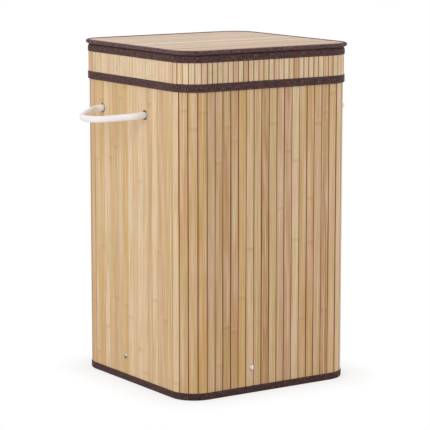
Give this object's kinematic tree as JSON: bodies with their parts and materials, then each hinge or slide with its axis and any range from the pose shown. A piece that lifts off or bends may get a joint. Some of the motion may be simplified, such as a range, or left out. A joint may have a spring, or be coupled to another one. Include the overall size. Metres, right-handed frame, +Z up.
{
  "type": "laundry hamper with lid",
  "caption": "Square free-standing laundry hamper of vertical bamboo slats with a collar, hinged slatted lid, bound edges, rope handles, loose base board and cloth liner.",
  "frame": {"origin": "on the floor, under the middle of the hamper", "axes": "+Z up, -Y towards the front, +Y towards the lid's hinge, rope handles on -X and +X"},
  "size_m": [0.5104, 0.359, 0.6],
  "materials": {
    "wall_bamboo": "satin lacquered bamboo",
    "collar_bamboo": "satin lacquered bamboo",
    "lid_bamboo": "satin lacquered bamboo",
    "backing_cloth": "matt non-woven cloth",
    "foot_tape": "matt woven tape",
    "binding_tape": "matt woven tape",
    "lid_tape": "matt rolled tape",
    "hoop_steel": "dark lacquered steel wire",
    "fibreboard": "raw fibreboard",
    "bracket_steel": "zinc plated",
    "rivet_chrome": "polished",
    "eyelet_chrome": "polished",
    "cotton_rope": "braided cotton",
    "liner_cloth": "plain woven cotton",
    "strip_loop": "brushed loop tape",
    "strip_hook": "hook tape"
  },
  "bodies": {
    "hamper": {"wall_backing": "backing_cloth", "wall_slats_front": "wall_bamboo", "wall_slats_right": "wall_bamboo", "wall_slats_back": "wall_bamboo", "wall_slats_left": "wall_bamboo", "corner_slats_front_right": "wall_bamboo", "corner_slats_back_right": "wall_bamboo", "corner_slats_back_left": "wall_bamboo", "corner_slats_front_left": "wall_bamboo", "collar_backing": "backing_cloth", "collar_slats_front": "collar_bamboo", "collar_slats_right": "collar_bamboo", "collar_slats_back": "collar_bamboo", "collar_slats_left": "collar_bamboo", "collar_corner_slats": "collar_bamboo", "foot_binding": "foot_tape", "collar_binding": "binding_tape", "rim_binding": "binding_tape", "rim_hoop": "hoop_steel", "base_brackets": "bracket_steel", "base_rivets": "rivet_chrome", "handle_eyelets": "eyelet_chrome", "eyelet_washers": "eyelet_chrome", "left_rope_ends": "cotton_rope", "right_rope_ends": "cotton_rope", "liner_bag": "liner_cloth", "liner_loop_strip": "strip_loop", "wall_hook_strip": "strip_hook", "hinge_strip_wall": "binding_tape"},
    "lid": {"lid_board": "fibreboard", "lid_slats": "lid_bamboo", "lid_lining": "backing_cloth", "lid_binding": "lid_tape", "hinge_strip_lid": "binding_tape"},
    "left_handle": {"left_rope_loop": "cotton_rope"},
    "right_handle": {"right_rope_loop": "cotton_rope"},
    "base": {"base_board": "fibreboard"}
  },
  "joints": [
    {"name": "lid_hinge", "type": "hinge", "parent": "hamper", "child": "lid", "pos_m": [0, 0.1786, 0.59215], "axis": [-1, 0, 0], "range_deg": [0, 105]},
    {"name": "left_handle_swing", "type": "hinge", "parent": "hamper", "child": "left_handle", "pos_m": [-0.183, 0.026, 0.482], "axis": [0, 1, 0], "range_deg": [-80, 80]},
    {"name": "right_handle_swing", "type": "hinge", "parent": "hamper", "child": "right_handle", "pos_m": [0.183, -0.026, 0.482], "axis": [0, -1, 0], "range_deg": [-80, 80]},
    {"name": "base_board_lift", "type": "slide", "parent": "hamper", "child": "base", "axis": [0, 0, 1], "range_m": [0, 0.3], "deforming": ["liner_bag"]}
  ]
}
